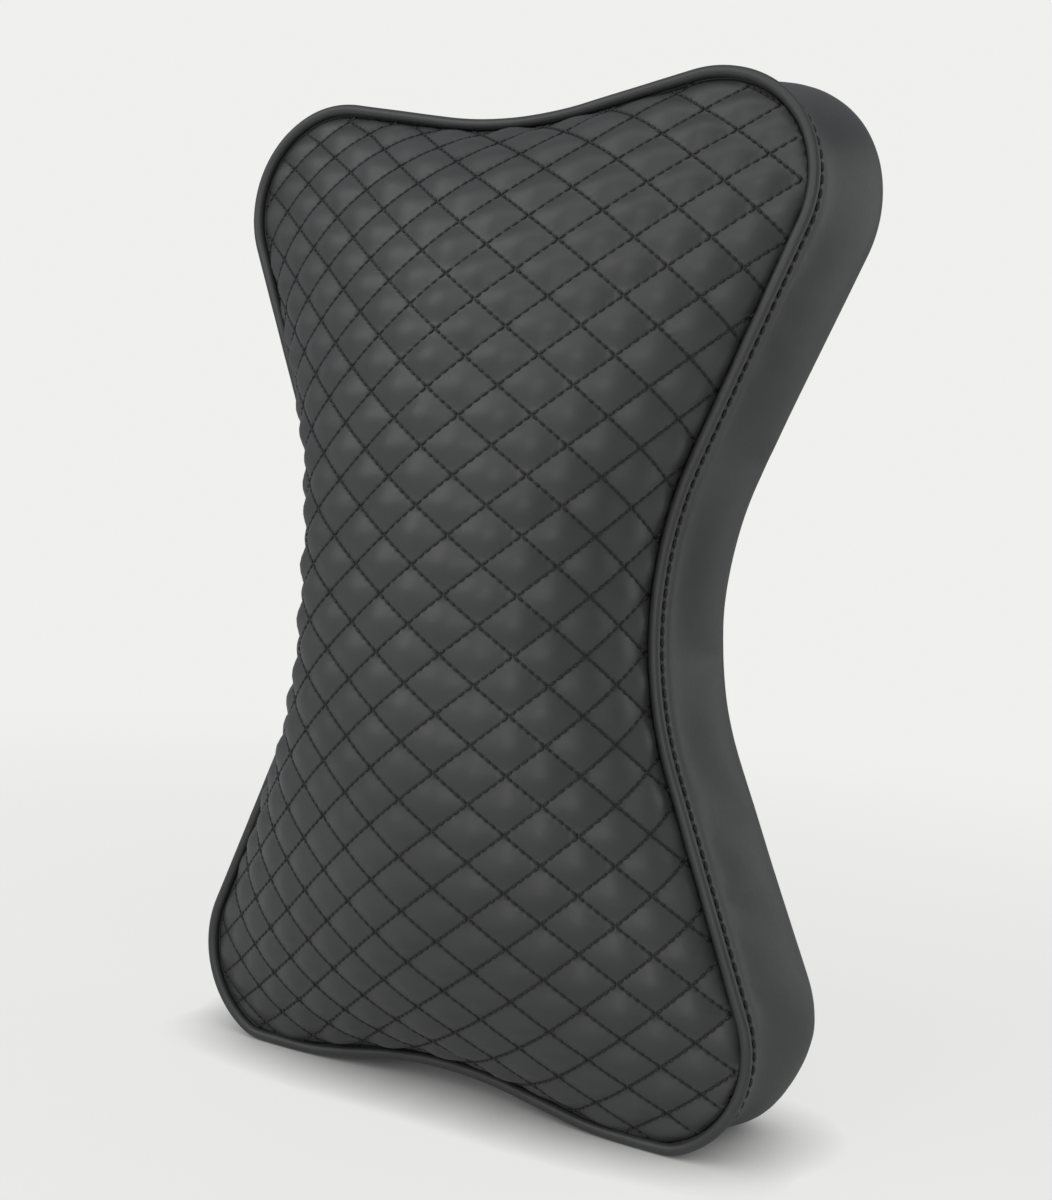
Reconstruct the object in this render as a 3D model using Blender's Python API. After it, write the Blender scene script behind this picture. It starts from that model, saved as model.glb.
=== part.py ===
"""Bone-shaped car neck pillow: a foam core in a sewn leather cover, standing on two of its four lobes.

Metres, +Z up along the pillow's length. The quilted face looks along -Y and the flat back along +Y.
"""

import math

import bmesh
import bpy
import numpy as np
from mathutils import Vector
from mathutils.geometry import delaunay_2d_cdt

# Outline of the side band's outer face: four round lobes, and hollow arcs between straight flanks.
LOBE_RADIUS = 0.0306
LOBE_CENTRE_X = 0.0605
LOBE_CENTRE_Z = 0.115
WAIST_HOLLOW = 0.0351  # depth of the hollow between two lobes, from their outermost points
WAIST_FLANK = 0.065  # straight stretch between a lobe and the hollow
END_HOLLOW = 0.0088
END_FLANK = 0.032
REST_CUT = 0.0010  # how far the pillow's weight flattens the lobes that it stands on

# Depths along Y.
BAND_DEPTH = 0.043
BAND_BULGE = 0.0040
BACK_ROUNDING = 0.0045
BACK_HEM = 0.0010  # flat turned edge between the rounding and the back panel
BULGE_STEPS = 3
ROUNDING_STEPS = 2
CROWN_HEIGHT = 0.040
PUFF_HEIGHT = 0.0016

# The crown's fall from its middle to the rim: the powers flatten the top, the rounds steepen the rim.
CROWN_POWER_X = 2.0
CROWN_POWER_Z = 3.2
CROWN_ROUND_X = 0.46
CROWN_ROUND_Z = 0.60
LOBE_FLATNESS = 0.9
LOBE_FLAT_POWER = 1.5
RIM_SOFTNESS = 0.04

# Cloth and cord.
PANEL_THICKNESS = 0.0022
BAND_THICKNESS = 0.0012
BACK_THICKNESS = 0.0012
PIPING_RADIUS = 0.0016
PIPING_PROUD = 0.0009  # how far the piping stands out past the side band
PIPING_SIDES = 8
SEWN_GAP = 0.0003

# The band's topstitched welt: a shallow stitch line, then the raised edge of the seam allowance.
STITCH_LINE_DEPTH = 0.0004
STITCH_LINE_FROM_PIPING = 0.0012
WELT_RISE = 0.0004
WELT_WIDTH = 0.0016

# Quilting, measured in the cloth: half the width and half the height of a diamond.
DIAMOND_HALF_WIDTH = 0.00983
DIAMOND_HALF_HEIGHT = 0.00784
QUILT_SHIFT_X = 0.0018
QUILT_SHIFT_Z = 0.0091
QUILT_TILT = 0.056  # rise of a row of diamonds for each metre to the right
CUTS_PER_DIAMOND = 3
PUFF_FULLNESS = 0.6
RIM_MARGIN = 0.0013  # no quilt point lies nearer to the rim than this
WAIST_MARGIN = 0.013  # lengths along Z are measured at least this far inside the waist's sides

# Elastic strap that goes round the headrest, flat against the back.
STRAP_WIDTH = 0.038
STRAP_THICKNESS = 0.0016
STRAP_END_MARGIN = 0.004

# Steps along each stretch of a quarter of the outline.
END_STEPS = 4
END_FLANK_STEPS = 2
LOBE_STEPS = 11
SIDE_FLANK_STEPS = 4
WAIST_STEPS = 4
RIM_FINENESS = 5  # times as many steps where the rim is only measured

PIPING_INSET = PIPING_RADIUS - PIPING_PROUD
RIM_INSET = PIPING_INSET + PIPING_RADIUS + SEWN_GAP
BAND_FRONT = PIPING_RADIUS + SEWN_GAP
FLOOR_Z = -(LOBE_CENTRE_Z + LOBE_RADIUS - REST_CUT)
INSIDE_BAND = BAND_THICKNESS + SEWN_GAP
WAIST_HALF_WIDTH = LOBE_CENTRE_X + LOBE_RADIUS - WAIST_HOLLOW
END_HALF_LENGTH = LOBE_CENTRE_Z + LOBE_RADIUS - END_HOLLOW

ARC_SAMPLES = 32
LAYING_ROUNDS = 40
LAYING_STEP = 0.6
MOST_WRAP = 1.5  # the crown takes up less cloth than this many times its flat reach
SHARP_ANGLE = 50


def arc(centre, radius, start, end, steps):
    angles = np.linspace(start, end, steps + 1)
    return [(centre[0] + radius * math.cos(a), centre[1] + radius * math.sin(a)) for a in angles]


def hollow_radius(spacing, depth, flank):
    """Radius of the hollow between two lobes this far either side of it, with straight flanks that long."""
    lobe_rise = LOBE_RADIUS - depth
    return (spacing**2 + lobe_rise**2 - LOBE_RADIUS**2 - flank**2) / (2 * depth)


WAIST_RADIUS = hollow_radius(LOBE_CENTRE_Z, WAIST_HOLLOW, WAIST_FLANK)
END_RADIUS = hollow_radius(LOBE_CENTRE_X, END_HOLLOW, END_FLANK)


def flank_angle(hollow, radius, flank):
    """Direction from the lobe's centre to where the straight flank towards that hollow leaves the lobe."""
    towards = math.atan2(hollow[1] - LOBE_CENTRE_Z, hollow[0] - LOBE_CENTRE_X)
    return towards + math.atan2(flank, LOBE_RADIUS + radius)


def quarter(inset, finer=1):
    """The outline's upper right quarter, from the middle of the end to the waist, as (x, z) points."""
    lobe = (LOBE_CENTRE_X, LOBE_CENTRE_Z)
    end = (0.0, END_HALF_LENGTH + END_RADIUS)
    waist = (WAIST_HALF_WIDTH + WAIST_RADIUS, 0.0)
    to_end = flank_angle(end, END_RADIUS, -END_FLANK)
    to_waist = flank_angle(waist, WAIST_RADIUS, WAIST_FLANK)
    stretches = [
        arc(end, END_RADIUS + inset, -math.pi / 2, to_end - math.pi, END_STEPS * finer),
        arc(lobe, LOBE_RADIUS - inset, to_end, to_waist, LOBE_STEPS * finer),
        arc(waist, WAIST_RADIUS + inset, to_waist + math.pi, math.pi, WAIST_STEPS * finer),
    ]
    points = stretches[0]
    for stretch, steps in zip(stretches[1:], (END_FLANK_STEPS, SIDE_FLANK_STEPS)):
        flank = np.linspace(points[-1], stretch[0], steps + 1)[1:-1]
        points = points + [tuple(p) for p in flank.tolist()] + stretch
    return points


RIM_QUARTER = np.array(quarter(RIM_INSET, finer=RIM_FINENESS))


def outline(inset, lift=0.0):
    """The closed outline moved inwards by inset, clockwise seen from the front.

    Nothing reaches lower than lift above the floor, so the lobes that bear the weight are flat there.
    """
    right_top = quarter(inset)
    right_low = [(x, -z) for x, z in reversed(right_top)]
    left_low = [(-x, z) for x, z in reversed(right_low)]
    left_top = [(-x, z) for x, z in reversed(right_top)]
    loop = right_top + right_low[1:] + left_low[1:] + left_top[1:-1]
    return [(x, max(z, FLOOR_Z + lift)) for x, z in loop]


def panel_rim():
    """The quilted panel's edge, inside the piping and clear of the band."""
    return outline(RIM_INSET, INSIDE_BAND)


def half_width(z):
    """Half the width of the quilted panel at height z, both as arrays."""
    side = RIM_QUARTER[RIM_QUARTER[:, 1].argmax() :][::-1]
    return np.interp(np.abs(z), side[:, 1], side[:, 0])


def half_length(x):
    """Half the length of the quilted panel at distance x from its middle line, both as arrays."""
    end = RIM_QUARTER[: RIM_QUARTER[:, 0].argmax() + 1]
    return np.interp(np.abs(x), end[:, 0], end[:, 1])


def fall(reach, power, roundness):
    """1 in the middle, where reach is 0, and 0 at the rim, where it is 1, with a finite slope there."""
    left = 1 - reach**power
    edge = RIM_SOFTNESS**roundness
    return ((left + RIM_SOFTNESS) ** roundness - edge) / ((1 + RIM_SOFTNESS) ** roundness - edge)


def crown(x, z):
    """How far the quilt's seams stand in front of the rim at (x, z). The lobes are flatter than the middle."""
    reach_x = np.minimum(np.abs(x) / half_width(z), 1)
    reach_z = np.minimum(np.abs(z) / half_length(x), 1)
    across = fall(reach_x, CROWN_POWER_X, CROWN_ROUND_X)
    along = fall(reach_z, CROWN_POWER_Z, CROWN_ROUND_Z)
    lobe = 1 - LOBE_FLATNESS * (reach_x * reach_z) ** LOBE_FLAT_POWER
    return CROWN_HEIGHT * across * along * lobe


def cloth_length(x, z, across):
    """Length of cloth from the panel's middle line to each (x, z), along X if across, or else along Z."""
    if not across:
        x = np.clip(x, WAIST_MARGIN - WAIST_HALF_WIDTH, WAIST_HALF_WIDTH - WAIST_MARGIN)
    part = np.linspace(0, 1, ARC_SAMPLES + 1)[:, None]
    heights = crown(part * x, z + 0 * part) if across else crown(x + 0 * part, part * z)
    run = (x if across else z) / ARC_SAMPLES
    return np.sign(run) * np.hypot(run, np.diff(heights, axis=0)).sum(axis=0)


def lay_cloth(across, along):
    """The (x, z) where cloth lies that is this far across and along from the panel's middle."""
    x, z = across, along
    for _ in range(LAYING_ROUNDS):
        x = x + LAYING_STEP * (across - cloth_length(x, z, True))
        z = z + LAYING_STEP * (along - cloth_length(x, z, False))
    return x, z


def quilt_points(cuts):
    """Points of the quilt's diamonds, each cut cuts times each way: {(u, v): (x, z)}.

    u and v count diamonds along the two families of seams, in units of one cut.
    """
    reach_x = MOST_WRAP * (LOBE_CENTRE_X + LOBE_RADIUS)
    reach_z = MOST_WRAP * (LOBE_CENTRE_Z + LOBE_RADIUS)
    most = math.ceil(cuts * (reach_x / DIAMOND_HALF_WIDTH + reach_z / DIAMOND_HALF_HEIGHT) / 2)
    steps = np.arange(-most, most + 1)
    u, v = (grid.ravel() for grid in np.meshgrid(steps, steps))
    across = (u + v) / cuts * DIAMOND_HALF_WIDTH + QUILT_SHIFT_X
    along = (v - u) / cuts * DIAMOND_HALF_HEIGHT + QUILT_SHIFT_Z + QUILT_TILT * across
    near = (np.abs(across) < reach_x) & (np.abs(along) < reach_z)
    x, z = lay_cloth(across[near], along[near])
    rim = np.array(panel_rim())
    return {
        (int(a), int(b)): (float(px), float(pz))
        for a, b, px, pz in zip(u[near], v[near], x, z)
        if well_inside(px, pz, rim)
    }


def well_inside(x, z, rim):
    """Whether (x, z) is inside the closed rim, and further from it than RIM_MARGIN."""
    after = np.roll(rim, -1, axis=0)
    run = after - rim
    out = np.array([x, z]) - rim
    part = np.clip((out * run).sum(axis=1) / (run**2).sum(axis=1), 0, 1)
    if np.hypot(*(out - part[:, None] * run).T).min() < RIM_MARGIN:
        return False
    spans = (rim[:, 1] > z) != (after[:, 1] > z)
    cross = rim[spans, 0] + run[spans, 0] * (z - rim[spans, 1]) / run[spans, 1]
    return bool((cross > x).sum() % 2)


def quilt_sheet(cuts, rim, puff_height):
    """The quilted surface inside rim as (points, triangles), points being (x, height, z), the rim's first."""
    points = quilt_points(cuts)
    number = {key: len(rim) + i for i, key in enumerate(points)}
    seams = [
        (number[u, v], number[nxt])
        for u, v in points
        for nxt in ([(u, v + 1)] if u % cuts == 0 else []) + ([(u + 1, v)] if v % cuts == 0 else [])
        if nxt in number
    ]
    flat = [Vector(p) for p in rim] + [Vector(p) for p in points.values()]
    _, _, triangles, *_ = delaunay_2d_cdt(flat, seams, [list(range(len(rim)))], 1, 1e-7)
    keys = np.array(list(points)) / cuts
    swell = np.abs(np.sin(math.pi * keys[:, 0]) * np.sin(math.pi * keys[:, 1])) ** PUFF_FULLNESS
    x, z = np.array(list(points.values())).T
    heights = np.concatenate([np.zeros(len(rim)), crown(x, z) + puff_height * swell])
    return [(p.x, float(h), p.y) for p, h in zip(flat, heights)], triangles


def band_side():
    """Section of the band's outer face from front to back, as (inset, y) points."""
    stitch = BAND_FRONT + STITCH_LINE_FROM_PIPING
    ridge = stitch + WELT_WIDTH / 2
    flat_end = BAND_DEPTH - BACK_ROUNDING
    points = [(0, BAND_FRONT), (STITCH_LINE_DEPTH, stitch), (-WELT_RISE, ridge), (0, ridge + WELT_WIDTH / 2)]
    start = points[-1][1]
    for part in np.linspace(0, 1, BULGE_STEPS + 1)[1:-1]:
        points.append((-BAND_BULGE * math.sin(math.pi * part), start + part * (flat_end - start)))
    for turn in np.linspace(0, math.pi / 2, ROUNDING_STEPS + 1):
        points.append((BACK_ROUNDING * (1 - math.cos(turn)), flat_end + BACK_ROUNDING * math.sin(turn)))
    points.append((BACK_ROUNDING + BACK_HEM, BAND_DEPTH))
    return points


def inside(side, distance):
    """A section moved inwards by distance, square to itself."""
    moved = []
    for i, (inset, y) in enumerate(side):
        before = side[max(i - 1, 0)]
        after = side[min(i + 1, len(side) - 1)]
        d_inset, d_y = after[0] - before[0], after[1] - before[1]
        length = math.hypot(d_inset, d_y)
        moved.append((inset + distance * d_y / length, y - distance * d_inset / length))
    return moved


def without_welt(side):
    """The band's section without its stitch line and welt, which show on the outer face only."""
    return side[:1] + side[3:]


def loops(bm, section, lift=0.0):
    """One closed loop of vertices for each (inset, y) of the section."""
    return [[bm.verts.new((x, y, z)) for x, z in outline(inset, lift)] for inset, y in section]


def skin(bm, rows):
    """Faces between each row of vertices and the next, every quad split the same way.

    Surfaces that lie side by side then keep their gap where the flattened lobes twist them.
    """
    for first, second in zip(rows, rows[1:]):
        for i in range(len(first)):
            j = (i + 1) % len(first)
            bm.faces.new((first[i], first[j], second[j]))
            bm.faces.new((first[i], second[j], second[i]))


def add_object(name, bm, material, parent):
    bmesh.ops.recalc_face_normals(bm, faces=bm.faces)
    mesh = bpy.data.meshes.new(name)
    bm.to_mesh(mesh)
    bm.free()
    mesh.shade_smooth()
    mesh.set_sharp_from_angle(angle=math.radians(SHARP_ANGLE))
    mesh.materials.append(material)
    piece = bpy.data.objects.new(name, mesh)
    piece.parent = parent
    bpy.context.scene.collection.objects.link(piece)
    return piece


def add_sheet(bm, sheet, front, rim_vertices):
    """Triangles of a quilt sheet, its heights measured forwards from the plane y = front."""
    points, triangles = sheet
    inner = [bm.verts.new((x, front - height, z)) for x, height, z in points[len(rim_vertices) :]]
    vertices = rim_vertices + inner
    for a, b, c in triangles:
        bm.faces.new((vertices[a], vertices[b], vertices[c]))


def front_panel(material, parent):
    rim = panel_rim()
    bm = bmesh.new()
    outer, inner = loops(bm, [(RIM_INSET, 0.0), (RIM_INSET, PANEL_THICKNESS)], INSIDE_BAND)
    add_sheet(bm, quilt_sheet(CUTS_PER_DIAMOND, rim, PUFF_HEIGHT), 0.0, outer)
    add_sheet(bm, quilt_sheet(1, rim, 0.0), PANEL_THICKNESS, inner)
    skin(bm, [outer, inner])
    return add_object("front_panel", bm, material, parent)


def front_piping(material, parent):
    turns = np.arange(PIPING_SIDES) * 2 * math.pi / PIPING_SIDES
    section = [
        (PIPING_INSET + PIPING_RADIUS * math.cos(turn), PIPING_RADIUS * math.sin(turn)) for turn in turns
    ]
    bm = bmesh.new()
    rows = loops(bm, section)
    skin(bm, rows + rows[:1])
    return add_object("front_piping", bm, material, parent)


def side_band(material, parent):
    side = band_side()
    bm = bmesh.new()
    outer = loops(bm, side)
    inner = loops(bm, inside(without_welt(side), BAND_THICKNESS), BAND_THICKNESS)
    for rows in (outer, inner, [outer[0], inner[0]], [outer[-1], inner[-1]]):
        skin(bm, rows)
    return add_object("side_band", bm, material, parent)


def back_panel(material, parent):
    inset = BACK_ROUNDING + BACK_HEM + SEWN_GAP
    bm = bmesh.new()
    front, back = loops(bm, [(inset, BAND_DEPTH - BACK_THICKNESS), (inset, BAND_DEPTH)])
    skin(bm, [front, back])
    bm.faces.new(front)
    bm.faces.new(back)
    return add_object("back_panel", bm, material, parent)


def foam_core(material, parent):
    """The foam fills the cover: its front follows the quilt's lining, its sides the band."""
    front = PANEL_THICKNESS + SEWN_GAP
    section = [(RIM_INSET, front)] + inside(without_welt(band_side()), INSIDE_BAND)
    bm = bmesh.new()
    rows = loops(bm, section, INSIDE_BAND)
    skin(bm, rows)
    add_sheet(bm, quilt_sheet(1, panel_rim(), 0.0), front, rows[0])
    bm.faces.new(rows[-1])
    return add_object("foam_core", bm, material, parent)


def headrest_strap(material, parent):
    bm = bmesh.new()
    bmesh.ops.create_cube(bm, size=1)
    length = 2 * (END_HALF_LENGTH - BACK_ROUNDING - BACK_HEM - STRAP_END_MARGIN)
    bmesh.ops.scale(bm, vec=(STRAP_WIDTH, STRAP_THICKNESS, length), verts=bm.verts)
    strap = add_object("headrest_strap", bm, material, parent)
    strap.location.y = BAND_DEPTH + SEWN_GAP + STRAP_THICKNESS / 2
    return strap


def make_material(name, colour, roughness):
    material = bpy.data.materials.new(name)
    material.use_nodes = True
    shader = material.node_tree.nodes["Principled BSDF"]
    shader.inputs["Base Color"].default_value = (*colour, 1)
    shader.inputs["Roughness"].default_value = roughness
    shader.inputs["Metallic"].default_value = 0
    return material


def build():
    for leftover in list(bpy.data.objects):
        bpy.data.objects.remove(leftover, do_unlink=True)
    pillow = bpy.data.objects.new("pillow", None)
    bpy.context.scene.collection.objects.link(pillow)
    reach_front = CROWN_HEIGHT + PUFF_HEIGHT
    reach_back = BAND_DEPTH + SEWN_GAP + STRAP_THICKNESS
    pillow.location = (0, (reach_front - reach_back) / 2, -FLOOR_Z)
    front_panel(make_material("quilted_leather", (0.045, 0.047, 0.049), 0.42), pillow)
    front_piping(make_material("piping_leather", (0.042, 0.044, 0.046), 0.40), pillow)
    side_band(make_material("band_leather", (0.040, 0.041, 0.043), 0.42), pillow)
    back_panel(make_material("back_leather", (0.040, 0.041, 0.043), 0.45), pillow)
    headrest_strap(make_material("elastic_webbing", (0.018, 0.018, 0.019), 0.85), pillow)
    foam_core(make_material("memory_foam", (0.80, 0.74, 0.55), 0.95), pillow)


build()
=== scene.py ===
import math
import random

import bmesh
import bpy
import numpy as np
from mathutils import Matrix, Vector, kdtree, noise


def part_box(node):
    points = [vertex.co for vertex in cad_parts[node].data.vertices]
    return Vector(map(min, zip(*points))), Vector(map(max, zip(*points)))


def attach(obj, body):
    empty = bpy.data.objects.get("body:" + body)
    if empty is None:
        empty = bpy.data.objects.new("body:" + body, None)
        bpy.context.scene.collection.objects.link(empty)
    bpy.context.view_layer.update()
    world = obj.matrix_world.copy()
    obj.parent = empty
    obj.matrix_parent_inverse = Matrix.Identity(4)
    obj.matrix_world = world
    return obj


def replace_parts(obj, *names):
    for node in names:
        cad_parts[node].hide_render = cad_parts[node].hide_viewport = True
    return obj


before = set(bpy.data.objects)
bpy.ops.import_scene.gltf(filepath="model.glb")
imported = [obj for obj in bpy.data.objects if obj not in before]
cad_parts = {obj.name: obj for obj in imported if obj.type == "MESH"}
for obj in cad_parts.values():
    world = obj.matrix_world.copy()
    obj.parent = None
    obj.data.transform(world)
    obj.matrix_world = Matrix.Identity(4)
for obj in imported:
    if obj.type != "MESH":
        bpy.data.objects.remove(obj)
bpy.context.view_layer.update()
print("frame loaded")

# Outline of the band's outer face, in the plane of the front seam: four lobes, hollows and straight flanks.
outlineShape = {
    "lobeRadius": 0.0306, "lobeX": 0.0605, "lobeZ": 0.115,
    "waistHollow": 0.0351, "waistFlank": 0.065,
    "endHollow": 0.0088, "endFlank": 0.032,
    "pressed": 0.0006,  # how softly the lobes go over into the flat that they stand on
}
panelLow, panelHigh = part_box("front_panel")
pipingLow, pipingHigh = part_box("front_piping")
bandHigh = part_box("side_band")[1]
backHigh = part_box("back_panel")[1]
strapLow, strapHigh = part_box("headrest_strap")

seamY = (pipingLow.y + pipingHigh.y) / 2  # plane of the front seam, where the piping lies
pipingRadius = (pipingHigh.y - pipingLow.y) / 2
pipingProud = pipingHigh.x - outlineShape["lobeX"] - outlineShape["lobeRadius"]
middleZ = pipingHigh.z - outlineShape["lobeZ"] - outlineShape["lobeRadius"] - pipingProud
rimInset = outlineShape["lobeX"] + outlineShape["lobeRadius"] - panelHigh.x  # edge of the quilted panel
bandDepth = bandHigh.y - seamY


def hollowRadius(spacing, depth, flank):  # hollow between two lobes that far either side of it
    lobe = outlineShape["lobeRadius"]
    return (spacing**2 + (lobe - depth) ** 2 - lobe**2 - flank**2) / (2 * depth)


def flankTurn(hollow, radius, flank):  # where the flank towards that hollow leaves the lobe
    towards = math.atan2(hollow[1] - outlineShape["lobeZ"], hollow[0] - outlineShape["lobeX"])
    return towards + math.atan2(flank, outlineShape["lobeRadius"] + radius)


def quarterRun(step):  # upper right quarter from the end's middle to the waist: x, z, outward x, outward z
    s = outlineShape
    endRadius = hollowRadius(s["lobeX"], s["endHollow"], s["endFlank"])
    waistRadius = hollowRadius(s["lobeZ"], s["waistHollow"], s["waistFlank"])
    end = (0, s["lobeZ"] + s["lobeRadius"] - s["endHollow"] + endRadius)
    waist = (s["lobeX"] + s["lobeRadius"] - s["waistHollow"] + waistRadius, 0)
    toEnd = flankTurn(end, endRadius, -s["endFlank"])
    toWaist = flankTurn(waist, waistRadius, s["waistFlank"])
    arcs = [
        (end, -endRadius, math.pi / 2, toEnd),
        ((s["lobeX"], s["lobeZ"]), s["lobeRadius"], toEnd, toWaist),
        (waist, -waistRadius, toWaist, 0),
    ]
    run = np.empty((0, 4))
    for centre, radius, first, last in arcs:
        turns = np.linspace(first, last, math.ceil(abs(radius * (last - first)) / step) + 1)
        out = np.c_[np.cos(turns), np.sin(turns)]
        stretch = np.c_[np.array(centre) + radius * out, out]
        if len(run):
            gap = np.hypot(*(stretch[0] - run[-1])[:2])
            flank = np.linspace(run[-1], stretch[0], math.ceil(gap / step) + 1)[1:-1]
            run = np.vstack([run, flank])
        run = np.vstack([run, stretch])
    return run


def wholeRun(step):  # closed outline, clockwise seen from the front
    top = quarterRun(step)
    low = top[::-1] * [1, -1, 1, -1]
    right = np.vstack([top, low[1:]])
    left = right[::-1] * [-1, 1, -1, 1]
    return np.vstack([right, left[1:-1]])


def outlineAt(run, inset, lift=0.0):  # the outline moved inwards, with the lobes it stands on kept flat
    points = run[:, :2] - np.asarray(inset).reshape(-1, 1) * run[:, 2:]
    over = (points[:, 1] + middleZ - lift) / outlineShape["pressed"]
    points[:, 1] = lift - middleZ + outlineShape["pressed"] * np.logaddexp(0, over)
    return points


fineRun = wholeRun(0.001)
rimQuarter = quarterRun(0.0005)
rimQuarter = rimQuarter[:, :2] - rimInset * rimQuarter[:, 2:]
rimSide = rimQuarter[rimQuarter[:, 1].argmax():][::-1]
rimEnd = rimQuarter[:rimQuarter[:, 0].argmax() + 1]


def halfWidth(z):
    return np.interp(np.abs(z), rimSide[:, 1], rimSide[:, 0])


def halfLength(x):
    return np.interp(np.abs(x), rimEnd[:, 0], rimEnd[:, 1])


# Quilted panel: its crown over the foam and the diamonds sewn in it. Lengths are in metres of cloth.
quilt = {
    "puffHeight": 0.0017, "fullness": 1.05, "puffSpread": 0.15, "leftFullness": 0.005, "leftReach": 0.055,
    "powerX": 2.0, "powerZ": 3.2, "roundX": 0.46, "roundZ": 0.60,
    "lobeFlatness": 0.9, "flatPower": 1.5, "rimSoftness": 0.04,
    "halfWidth": 0.00983, "halfHeight": 0.00784, "shiftX": 0.0018, "shiftZ": 0.0091, "tilt": 0.056,
    "waistMargin": 0.013, "cuts": 10, "towardsSeam": 0.5, "thickness": 0.0018, "rimFade": 0.0026, "seed": 7,
    "rimDent": 0.0010, "dentReach": 0.0022,
    "gridX": 0.115, "gridZ": 0.165, "gridMargin": 0.009, "rimLift": 0.0015, "diamonds": 64,
}
crownHeight = seamY - panelLow.y - quilt["puffHeight"]


def fall(reach, power, roundness):  # 1 in the middle and 0 at the rim
    edge = quilt["rimSoftness"] ** roundness
    left = (1 - reach**power + quilt["rimSoftness"]) ** roundness
    return (left - edge) / ((1 + quilt["rimSoftness"]) ** roundness - edge)


def crownAt(x, z):  # how far the seams stand in front of the rim
    reachX = np.minimum(np.abs(x) / halfWidth(z), 1)
    reachZ = np.minimum(np.abs(z) / halfLength(x), 1)
    across = fall(reachX, quilt["powerX"], quilt["roundX"])
    along = fall(reachZ, quilt["powerZ"], quilt["roundZ"])
    lobe = 1 - quilt["lobeFlatness"] * (reachX * reachZ) ** quilt["flatPower"]
    fuller = np.where(x < 0, 12.2 * reachX**4 * (1 - reachX), 0) * np.exp(-((z / quilt["leftReach"]) ** 2))
    return crownHeight * across * along * lobe + quilt["leftFullness"] * fuller


def outwardAt(x, z, step=0.0003):  # the crown's outward direction
    slopeX = (crownAt(x + step, z) - crownAt(x - step, z)) / (2 * step)
    slopeZ = (crownAt(x, z + step) - crownAt(x, z - step)) / (2 * step)
    out = np.c_[-slopeX, -np.ones_like(slopeX), -slopeZ]
    return out / np.linalg.norm(out, axis=1)[:, None]


# Cloth lengths from the panel's middle lines over the crown, kept as tables that are read in both directions.
tableX = np.linspace(-0.1, 0.1, 201)
tableZ = np.linspace(-0.16, 0.16, 321)
tableHeights = crownAt(*np.meshgrid(tableX, tableZ, indexing="ij"))
clothX = np.hypot(tableX[1] - tableX[0], np.diff(tableHeights, axis=0))
clothX = np.vstack([np.zeros(len(tableZ)), np.cumsum(clothX, axis=0)])
clothX -= clothX[len(tableX) // 2]
clothZ = np.hypot(tableZ[1] - tableZ[0], np.diff(tableHeights, axis=1))
clothZ = np.c_[np.zeros(len(tableX)), np.cumsum(clothZ, axis=1)]
clothZ -= clothZ[:, len(tableZ) // 2, None]
waistReach = outlineShape["lobeX"] + outlineShape["lobeRadius"] - outlineShape["waistHollow"]
waistReach -= quilt["waistMargin"]
rowsRead = (np.clip(tableX, -waistReach, waistReach) - tableX[0]) / (tableX[1] - tableX[0])
clothZ = clothZ[np.rint(rowsRead).astype(int)]  # past the waist's width the lobes' rows keep on straight


def readTable(table, x, z):
    a = np.clip((x - tableX[0]) / (tableX[1] - tableX[0]), 0, len(tableX) - 1.001)
    b = np.clip((z - tableZ[0]) / (tableZ[1] - tableZ[0]), 0, len(tableZ) - 1.001)
    i, j = a.astype(int), b.astype(int)
    a, b = a - i, b - j
    low = table[i, j] * (1 - b) + table[i, j + 1] * b
    high = table[i + 1, j] * (1 - b) + table[i + 1, j + 1] * b
    return low * (1 - a) + high * a


def layCloth(across, along, rounds=25, step=0.0005):  # where cloth that far from the middle lines lies
    x, z = across * 0.9, along * 0.97
    for _ in range(rounds):
        stretchX = (readTable(clothX, x + step, z) - readTable(clothX, x - step, z)) / (2 * step)
        stretchZ = (readTable(clothZ, x, z + step) - readTable(clothZ, x, z - step)) / (2 * step)
        x = x + 0.8 * (across - readTable(clothX, x, z)) / np.maximum(stretchX, 1)
        z = z + 0.8 * (along - readTable(clothZ, x, z)) / np.maximum(stretchZ, 1)
    return x, z


def seamsToCloth(u, v):  # u and v count diamonds along the two families of seams
    across = (u + v) * quilt["halfWidth"] + quilt["shiftX"]
    along = (v - u) * quilt["halfHeight"] + quilt["shiftZ"] + quilt["tilt"] * across
    return across, along


def clothToSeams(across, along):
    along = (along - quilt["shiftZ"] - quilt["tilt"] * across) / quilt["halfHeight"]
    across = (across - quilt["shiftX"]) / quilt["halfWidth"]
    return (across - along) / 2, (across + along) / 2


rimTree = kdtree.KDTree(len(fineRun))
for index, (rimX, rimZ) in enumerate(outlineAt(fineRun, rimInset)):
    rimTree.insert((rimX, 0, rimZ), index)
rimTree.balance()


def rimDistance(x, z):
    return np.array([rimTree.find((a, 0, b))[2] for a, b in zip(x, z)])


random.seed(quilt["seed"])
diamondSpan = range(quilt["diamonds"])
diamondFullness = np.array([[random.uniform(-1, 1) for _ in diamondSpan] for _ in diamondSpan])


def rimDent(toRim):  # the panel is drawn down behind the piping
    return quilt["rimDent"] * np.exp(-toRim / quilt["dentReach"])


def puffAt(x, z):  # height of the diamonds over their seams, and the seam counts there
    u, v = clothToSeams(readTable(clothX, x, z), readTable(clothZ, x, z))
    swell = np.abs(np.sin(math.pi * u) * np.sin(math.pi * v)) ** quilt["fullness"]
    half = quilt["diamonds"] // 2
    own = diamondFullness[np.floor(u).astype(int) + half, np.floor(v).astype(int) + half]
    toRim = np.hypot(rimDistance(x, z), crownAt(x, z))
    atRim = 1 - np.exp(-toRim / quilt["rimFade"])
    return quilt["puffHeight"] * swell * (1 + quilt["puffSpread"] * own) * atRim, rimDent(toRim), u, v


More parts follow.
